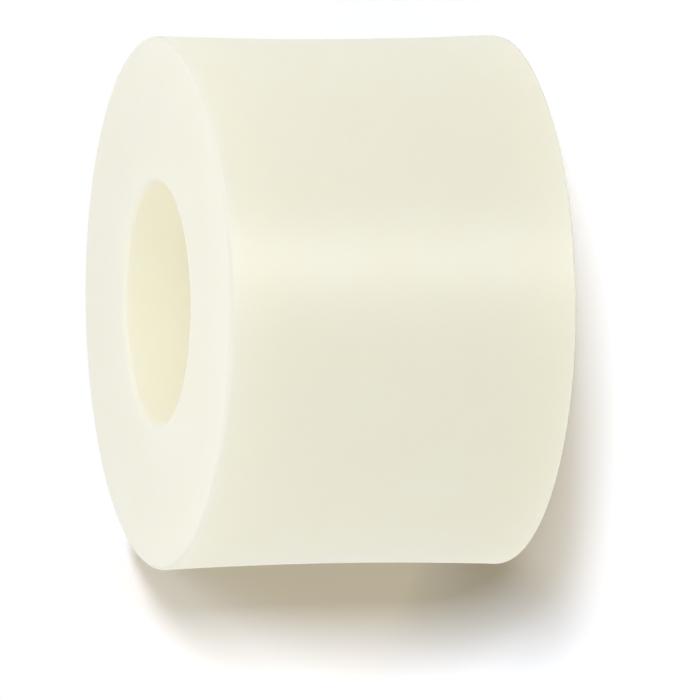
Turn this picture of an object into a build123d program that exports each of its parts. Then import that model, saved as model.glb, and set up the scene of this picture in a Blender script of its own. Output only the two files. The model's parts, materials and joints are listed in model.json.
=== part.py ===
"""Plain round spacer: a short, thick-walled tube moulded in one piece from natural nylon.

It stands on one end with its axis along +Z, and its origin is the centre of that end.
All sizes are in millimetres.
"""

import os

from build123d import *

# Driving dimensions
outer_diameter = 9.525  # at the ends, to the sharp corner that the rim is rounded from
bore_diameter = 4.343  # clears a number 8 machine screw
length = 6.35  # from one end face to the other, the distance that the spacer keeps
side_sink = 0.07  # how far the side has drawn in at mid length as the thick wall cooled
rim_radius = 0.08  # rounding where the side meets an end face
mouth_radius = 0.10  # rounding where the bore meets an end face

# Half of the section, to the right of the axis
bore_wall = bore_diameter / 2
rim = outer_diameter / 2
waist = rim - side_sink

with BuildPart() as spacer:
    with BuildSketch(Plane.XZ):
        with BuildLine():
            Line((bore_wall, length), (bore_wall, 0))
            Line((bore_wall, 0), (rim, 0))
            ThreePointArc((rim, 0), (waist, length / 2), (rim, length))
            Line((rim, length), (bore_wall, length))
        make_face()
    revolve(axis=Axis.Z)

    # Each end face is bounded by the mouth of the bore and, outside it, the rim
    end_faces = spacer.faces().filter_by(GeomType.PLANE)
    mouth_edges, rim_edges = end_faces.edges().group_by(SortBy.RADIUS)
    fillet(mouth_edges, mouth_radius)
    fillet(rim_edges, rim_radius)

spacer.part.label = "spacer"

os.makedirs("parts", exist_ok=True)
export_step(spacer.part, "parts/spacer.step")
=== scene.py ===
"""A plain round spacer of natural nylon, dressed around its CAD model.

It is one piece that stands on one end. The camera sees it as the photograph does, with the picture
turned a quarter so that the axis lies across it and the upper end face is on the left.
"""

import json
import math

import bpy
import numpy as np
from mathutils import Matrix, Vector


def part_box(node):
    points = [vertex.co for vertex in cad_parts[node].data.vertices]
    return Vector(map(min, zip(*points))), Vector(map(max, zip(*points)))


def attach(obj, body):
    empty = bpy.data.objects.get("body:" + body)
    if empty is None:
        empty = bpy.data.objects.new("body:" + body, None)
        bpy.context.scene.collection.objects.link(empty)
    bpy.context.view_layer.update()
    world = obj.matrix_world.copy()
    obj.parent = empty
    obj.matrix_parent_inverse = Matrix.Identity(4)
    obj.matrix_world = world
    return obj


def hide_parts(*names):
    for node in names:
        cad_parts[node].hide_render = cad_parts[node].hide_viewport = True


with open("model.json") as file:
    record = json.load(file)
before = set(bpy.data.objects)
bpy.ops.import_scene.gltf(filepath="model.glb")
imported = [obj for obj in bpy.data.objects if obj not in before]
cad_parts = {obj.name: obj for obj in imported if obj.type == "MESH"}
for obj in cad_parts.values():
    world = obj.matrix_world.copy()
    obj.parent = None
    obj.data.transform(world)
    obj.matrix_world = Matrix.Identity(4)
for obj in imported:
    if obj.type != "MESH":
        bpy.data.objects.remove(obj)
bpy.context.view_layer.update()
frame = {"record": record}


# The spacer: a short thick-walled tube, moulded in one piece from undyed nylon 6/6.
# A screw passes through the plain bore, and each flat end face bears on a board or a panel.
# The thick wall shrank as it cooled, so the side is drawn in a little between two crisp rims.
mm = 0.001
low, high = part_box("spacer")
length = high.z - low.z
rim_radius = min(high.x - low.x, high.y - low.y) / 2
bore_mount = next(m for m in frame["record"]["mounts"] if m["name"] == "bore")
bore_radius = bore_mount["dims"]["r_mm"] * mm
side_sink = 0.07 * mm
rim_rounding = 0.08 * mm
mouth_rounding = 0.10 * mm
bore_steps = 24
mouth_steps = 14
face_steps = 44
rim_steps = 18
side_steps = 41
turn_steps = 288


def eased(start, end, steps):
    """Values from start up to, but not at, end, crowded at both ends: half a cosine wave."""
    share = (1 - np.cos(np.linspace(0, math.pi, steps, endpoint=False))) / 2
    return start + (end - start) * share


def wall_section():
    """Radius and height of the wall's section, as one closed loop.

    The upper half goes up the bore, round the mouth, out along the end face, round the rim and down
    the side to mid height. The lower half is its mirror image. The side is an arc whose centre lies
    outside the wall. The rim's rounding touches it, so their two centres are both radii apart.
    """
    half = length / 2
    side_arc = (half**2 + side_sink**2) / (2 * side_sink)
    rim_centre = rim_radius - rim_rounding
    rim_height = half - rim_rounding
    side_centre = rim_centre + math.sqrt((side_arc + rim_rounding) ** 2 - rim_height**2)
    lean = math.asin(rim_height / (side_arc + rim_rounding))
    bore_height = eased(mouth_rounding - half, half - mouth_rounding, 2 * bore_steps)[bore_steps:]
    mouth_turn = eased(math.pi, math.pi / 2, mouth_steps)
    face_radius = eased(bore_radius + mouth_rounding, rim_centre, face_steps)
    rim_turn = eased(math.pi / 2, -lean, rim_steps)
    side_turn = np.linspace(lean, 0, side_steps)
    radius = np.concatenate([
        np.full_like(bore_height, bore_radius),
        bore_radius + mouth_rounding + mouth_rounding * np.cos(mouth_turn),
        face_radius,
        rim_centre + rim_rounding * np.cos(rim_turn),
        side_centre - side_arc * np.cos(side_turn),
    ])
    height = np.concatenate([
        bore_height,
        half - mouth_rounding + mouth_rounding * np.sin(mouth_turn),
        np.full_like(face_radius, half),
        rim_height + rim_rounding * np.sin(rim_turn),
        side_arc * np.sin(side_turn),
    ])
    lower = slice(-2, 0, -1)
    return np.append(radius, radius[lower]), half + np.append(height, -height[lower])


def turned(name, radius, height):
    """A mesh turned from a closed section: the section's points are carried round +Z in equal steps,
    and each is joined to its neighbours along the section and round the turn."""
    angle = np.linspace(0, 2 * math.pi, turn_steps, endpoint=False)[:, None]
    points = np.stack([
        radius * np.cos(angle),
        radius * np.sin(angle),
        np.broadcast_to(low.z + height, (turn_steps, len(height))),
    ], axis=-1)
    here = np.arange(turn_steps * len(radius)).reshape(turn_steps, len(radius))
    beside = np.roll(here, -1, axis=0)
    quads = np.stack([here, np.roll(here, -1, axis=1), np.roll(beside, -1, axis=1), beside], axis=-1)
    mesh = bpy.data.meshes.new(name)
    mesh.from_pydata(points.reshape(-1, 3), [], quads.reshape(-1, 4), shade_flat=False)
    mesh.update()
    return mesh


spacer = bpy.data.objects.new("nylon_spacer", turned("nylon_spacer", *wall_section()))
bpy.context.scene.collection.objects.link(spacer)


def linear(colour):
    """Linear RGBA of an sRGB hex colour: a channel is divided by 12.92 near black, and above that
    0.055 is added, the sum divided by 1.055 and raised to the power 2.4."""
    channels = [int(colour[i:i + 2], 16) / 255 for i in (1, 3, 5)]
    return [c / 12.92 if c <= 0.04045 else ((c + 0.055) / 1.055) ** 2.4 for c in channels] + [1.0]


def add(owner, kind, inputs, **settings):
    """Adds a node to a material or the world: settings are the node's own properties, and an input is a
    value or the socket that feeds it."""
    made = owner.node_tree.nodes.new(kind)
    for name, value in settings.items():
        setattr(made, name, value)
    for name, value in inputs.items():
        if isinstance(value, bpy.types.NodeSocket):
            owner.node_tree.links.new(value, made.inputs[name])
        else:
            made.inputs[name].default_value = value
    return made


# Natural nylon 6/6, as moulded: cream, waxy and translucent, so light goes a little way into the wall
# and comes out again. The skin is satin, with the faint grain of the mould and soft clouds of tone.
nylon = bpy.data.materials.new("natural_nylon")
nylon.use_nodes = True
nylon.node_tree.nodes.clear()
cloud_size = 1.6 * mm
grain_size = 0.12 * mm
grain_depth = 0.004 * mm
light_depth = 0.8 * mm
mix_factor, mix_a, mix_b, mix_result = 0, 6, 7, 2  # the Mix node's sockets for colours
place = add(nylon, "ShaderNodeTexCoord", {}).outputs["Object"]
clouds = add(nylon, "ShaderNodeTexNoise", {"Vector": place, "Scale": 1 / cloud_size, "Detail": 3.0})
cream = add(nylon, "ShaderNodeMix", {
    mix_factor: clouds.outputs["Fac"],
    mix_a: linear("#F5F2DF"),
    mix_b: linear("#F9F6E7"),
}, data_type="RGBA")
grain = add(nylon, "ShaderNodeTexNoise", {"Vector": place, "Scale": 1 / grain_size, "Detail": 2.0})
relief = add(nylon, "ShaderNodeBump", {
    "Height": grain.outputs["Fac"],
    "Strength": 0.15,
    "Distance": grain_depth,
})
skin = add(nylon, "ShaderNodeBsdfPrincipled", {
    "Base Color": cream.outputs[mix_result],
    "Roughness": 0.42,
    "IOR": 1.53,
    "Subsurface Weight": 0.5,
    "Subsurface Radius": (1.0, 0.93, 0.8),
    "Subsurface Scale": light_depth,
    "Normal": relief.outputs["Normal"],
})
add(nylon, "ShaderNodeOutputMaterial", {"Surface": skin.outputs["BSDF"]})
spacer.data.materials.append(nylon)

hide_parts("spacer")
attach(spacer, "root")


# The stage: a floor of pale paper, and a small sheet of the same paper that curls up off it beside the
# spacer until it stands all but against its side, so that the spacer's shadow falls both ways.
# The paper shows only from its front, and it neither shades the spacer nor colours it.
floor_reach = 30 * mm
sheet_reach = 14 * mm
sheet_height = 9.5 * mm
sheet_top = math.radians(85.5)  # where the sheet's highest line stands, up from the floor
curl = math.radians(30.5)  # where the sheet leaves its upright plane and begins to curl
paper_gap = 0.1 * mm
paper_give = 0.03 * mm  # how far the lower rim presses into the paper
paper_turn = math.radians(50.9)
wall_steps = 5
curl_steps = 120
floor_steps = 25
upright = Vector((0, 0, 1))
facing = Vector((math.sin(paper_turn), -math.cos(paper_turn), 0))
forward = Vector((-math.cos(paper_turn), -math.sin(paper_turn), 0))
foot = Vector((0, 0, low.z + paper_give)) - (rim_radius + paper_gap) * facing


def spread(turn, start, side):
    """Directions that turn away from a start towards a side: start by the cosine and side by the sine."""
    return np.cos(turn)[:, None] * np.array(start) + np.sin(turn)[:, None] * np.array(side)


def curled_lines():
    """Directions of the straight lines of the small sheet, from its top down to the floor.

    They first turn down in the upright plane. Then they go round a cone that touches this plane and the
    floor, so its axis lies halfway between the two and its lines keep one angle to the axis.
    """
    axis_rise = math.atan(math.sqrt(2) * math.tan(curl))
    cone_angle = math.asin(math.sin(axis_rise) / math.sqrt(2))
    cone_end = math.asin(math.sin(curl) / math.sin(axis_rise))
    between = (facing + upright).normalized()
    axis = math.cos(axis_rise) * forward + math.sin(axis_rise) * between
    inward = math.sin(axis_rise) * forward - math.cos(axis_rise) * between
    around = spread(np.linspace(-cone_end, cone_end, curl_steps), inward, axis.cross(inward))
    return np.concatenate([
        spread(np.linspace(sheet_top, curl, wall_steps)[:-1], forward, upright),
        math.cos(cone_angle) * np.array(axis) + math.sin(cone_angle) * around,
    ])


def fan(name, lines, reach):
    """A sheet of straight lines that spread from the foot of the line where paper and spacer all but touch.

    A point is the foot plus its line's direction by how far along it lies, and neighbouring lines are
    joined from close to the foot out to their reach.
    """
    close = 0.01 * mm
    along = np.empty((len(lines), 2))
    along[:, 0] = close
    along[:, 1] = reach
    points = np.array(foot) + lines[:, None] * along[..., None]
    here = np.arange(2 * len(lines)).reshape(-1, 2)
    quads = np.stack([here[:-1, 0], here[:-1, 1], here[1:, 1], here[1:, 0]], axis=-1)
    mesh = bpy.data.meshes.new(name)
    mesh.from_pydata(points.reshape(-1, 3), [], quads, shade_flat=False)
    mesh.update()
    return mesh


floor_lines = spread(np.linspace(0, 2 * math.pi, floor_steps), forward, facing)
floor = bpy.data.objects.new("floor", fan("floor", floor_lines, floor_reach))
sheet_lines = curled_lines()
least_rise = sheet_height / sheet_reach  # a line that rises less than this ends at the sheet's reach
line_reach = sheet_height / np.maximum(sheet_lines[:, 2], least_rise)
sheet = bpy.data.objects.new("curled_sheet", fan("curled_sheet", sheet_lines, line_reach))

# Plain uncoated paper, quite matte. Towards its upper corner the small sheet turns to an even white glow,
# painted light as white as the background, which covers the spacer's shadow there so that the shadow on it
# ends softly.
paper = bpy.data.materials.new("pale_paper")
paper.use_nodes = True
paper.node_tree.nodes.clear()
back_share = 0.5
whitening = upright - back_share * forward  # up the sheet, and back along it
white_from = 5.45 * mm
white_to = 5.95 * mm
paper_place = add(paper, "ShaderNodeTexCoord", {}).outputs["Object"]
climb = add(paper, "ShaderNodeVectorMath", {0: paper_place, 1: whitening}, operation="DOT_PRODUCT")
whitened = add(paper, "ShaderNodeMapRange", {
    "Value": climb.outputs["Value"],
    "From Min": whitening.dot(foot) + white_from,
    "From Max": whitening.dot(foot) + white_to,
}, interpolation_type="SMOOTHSTEP").outputs["Result"]
matte = add(paper, "ShaderNodeBsdfDiffuse", {"Color": linear("#B0A795")}).outputs[0]
# painted light: an even white glow that covers the end of the shadow on the sheet
plain_white = add(paper, "ShaderNodeEmission", {"Color": linear("#FFFFFF"), "Strength": 1.0}).outputs[0]
lit = add(paper, "ShaderNodeMixShader", {0: whitened, 1: matte, 2: plain_white}).outputs[0]
behind = add(paper, "ShaderNodeNewGeometry", {}).outputs["Backfacing"]
clear = add(paper, "ShaderNodeBsdfTransparent", {}).outputs[0]
front = add(paper, "ShaderNodeMixShader", {0: behind, 1: lit, 2: clear})
add(paper, "ShaderNodeOutputMaterial", {"Surface": front.outputs[0]})
paper_only = bpy.data.collections.new("paper_only")
for piece in (floor, sheet):
    piece.data.materials.append(paper)
    for unseen_by in ("diffuse", "glossy", "transmission", "shadow"):
        setattr(piece, "visible_" + unseen_by, False)
    bpy.context.scene.collection.objects.link(piece)
    paper_only.objects.link(piece)


# The light: a white tent that is seen as plain white, and lights the spacer from below, as off a white
# table, and from a band of soft boxes all round, high enough to shine into the bore.
world = bpy.data.worlds.new("light_tent")
bpy.context.scene.world = world
world.use_nodes = True
world.node_tree.nodes.clear()
straight_down = -90
tent_bands = (  # the elevation in degrees that a band starts from, its level and its tint
    (straight_down, 1.14, "#FFFDF4"),
    (-20, 0.0, "#FFFFFF"),
    (0, 0.50, "#FFFFFF"),
    (15, 1.36, "#FFFFFF"),
    (35, 0.86, "#FFFFFF"),
    (60, 0.0, "#FFFFFF"),
)
brightest = max(level for bottom, level, tint in tent_bands)
outward = add(world, "ShaderNodeTexCoord", {}).outputs["Generated"]
climb_out = add(world, "ShaderNodeSeparateXYZ", {"Vector": outward}).outputs["Z"]
ramp_place = add(world, "ShaderNodeMapRange", {"Value": climb_out, "From Min": -1.0}).outputs["Result"]
tent = add(world, "ShaderNodeValToRGB", {"Fac": ramp_place})
tent.color_ramp.interpolation = "CONSTANT"
bands = tent.color_ramp.elements
bands.remove(bands[1])
for bottom, level, tint in tent_bands:
    share_up = (1 + math.sin(math.radians(bottom))) / 2
    band = bands.new(share_up) if bottom > straight_down else bands[0]
    band.color = [part * level / brightest for part in linear(tint)[:3]] + [1.0]
ray = add(world, "ShaderNodeLightPath", {}).outputs
shown = ray["Is Camera Ray"]
for other_ray in ("Is Glossy Ray", "Is Transmission Ray"):
    shown = add(world, "ShaderNodeMath", {0: shown, 1: ray[other_ray]}, operation="MAXIMUM").outputs[0]
glow = add(world, "ShaderNodeBackground", {"Color": tent.outputs["Color"], "Strength": brightest})
white = add(world, "ShaderNodeBackground", {"Color": linear("#FFFFFF"), "Strength": 1.0})
sky = add(world, "ShaderNodeMixShader", {0: shown, 1: glow.outputs[0], 2: white.outputs[0]})
add(world, "ShaderNodeOutputWorld", {"Surface": sky.outputs[0]})

middle = (low + high) / 2
lamp_distance = 200 * mm


def lamp(name, offset, wide, tall, level, colour="#FFFFFF"):
    """A flat soft lamp at an offset from the spacer's middle, turned to it.

    level is the light that a white surface facing the lamp sends back. Both the lamp and the surface
    spread their light over half a sphere, so the energy is the level, times pi squared, times the
    distance squared.
    """
    light = bpy.data.lights.new(name, "AREA")
    light.shape = "RECTANGLE"
    light.size = wide
    light.size_y = tall
    light.energy = level * math.pi**2 * offset.length_squared
    light.color = linear(colour)[:3]
    made = bpy.data.objects.new(name, light)
    made.location = middle + offset
    made.rotation_mode = "QUATERNION"
    made.rotation_quaternion = offset.to_track_quat("Z", "Y")
    made.visible_camera = False
    bpy.context.scene.collection.objects.link(made)
    return made


# A large soft box stands off to one side and adds a little light there.
box_side = Vector((0.7, -0.5, 0.5)).normalized()
lamp("side_softbox", lamp_distance * box_side, wide=120 * mm, tall=120 * mm, level=0.06)

# Two small soft lamps stand close, above the upper end, so the side is a little darker towards the floor.
spacer_only = bpy.data.collections.new("spacer_only")
spacer_only.objects.link(spacer)
for across in (-16 * mm, 16 * mm):
    near_place = Vector((across, -12 * mm, 22 * mm))
    near_lamp = lamp("near_softbox", near_place - middle, wide=14 * mm, tall=14 * mm, level=0.11)
    near_lamp.light_linking.receiver_collection = spacer_only

# A strip light stands in front. Only its reflection shows, as the soft highlight along the side.
strip_side = Vector((0.28, -0.9, -0.42)).normalized()
strip = lamp("front_strip", lamp_distance * strip_side, wide=60 * mm, tall=70 * mm, level=0.34)
strip.visible_diffuse = False

# Three lamps light the paper alone. They make it white and throw the spacer's shadow on it.
for name, direction, wide, tall, level, colour in (
    ("sheet_lamp", facing + 0.166 * forward + 0.047 * upright, 160 * mm, 152 * mm, 3.28, "#C7D7FF"),
    ("floor_lamp", upright + 0.184 * facing - 0.371 * forward, 129 * mm, 90 * mm, 2.86, "#C5D6FF"),
    ("grazing_lamp", forward + 0.073 * facing + 0.105 * upright, 94 * mm, 10 * mm, 3.66, "#EEF2FF"),
):
    paper_lamp = lamp(name, lamp_distance * direction.normalized(), wide, tall, level, colour)
    paper_lamp.light_linking.receiver_collection = paper_only


# The camera: a long lens that looks down on the upper end face at a low angle, as in the photograph.
# The picture is turned so that the spacer's axis runs across it.
picture_pixels = 700
axis_from_sight = math.radians(73.13)
axis_tilt = math.radians(-0.73)
centre_pixel = (326.2, 301.1)
pixels_per_metre = 532.1 / (9.525 * mm)  # from the outer diameter, as the picture shows it
camera_distance = 182 * mm

back = Vector((0, -math.sin(axis_from_sight), math.cos(axis_from_sight)))
level_right = Vector((0, -math.cos(axis_from_sight), -math.sin(axis_from_sight)))
level_up = back.cross(level_right)
right = math.cos(axis_tilt) * level_right + math.sin(axis_tilt) * level_up
up = back.cross(right)
picture_centre = (
    middle
    + right * (picture_pixels / 2 - centre_pixel[0]) / pixels_per_metre
    - up * (picture_pixels / 2 - centre_pixel[1]) / pixels_per_metre
)
camera = bpy.data.objects.new("camera", bpy.data.cameras.new("camera"))
camera.data.lens = camera.data.sensor_width * camera_distance * pixels_per_metre / picture_pixels
camera_turn = Matrix((right, up, back)).transposed().to_4x4()
camera.matrix_world = Matrix.Translation(picture_centre + back * camera_distance) @ camera_turn
bpy.context.scene.collection.objects.link(camera)
bpy.context.scene.camera = camera

bpy.context.scene.view_settings.view_transform = "Standard"
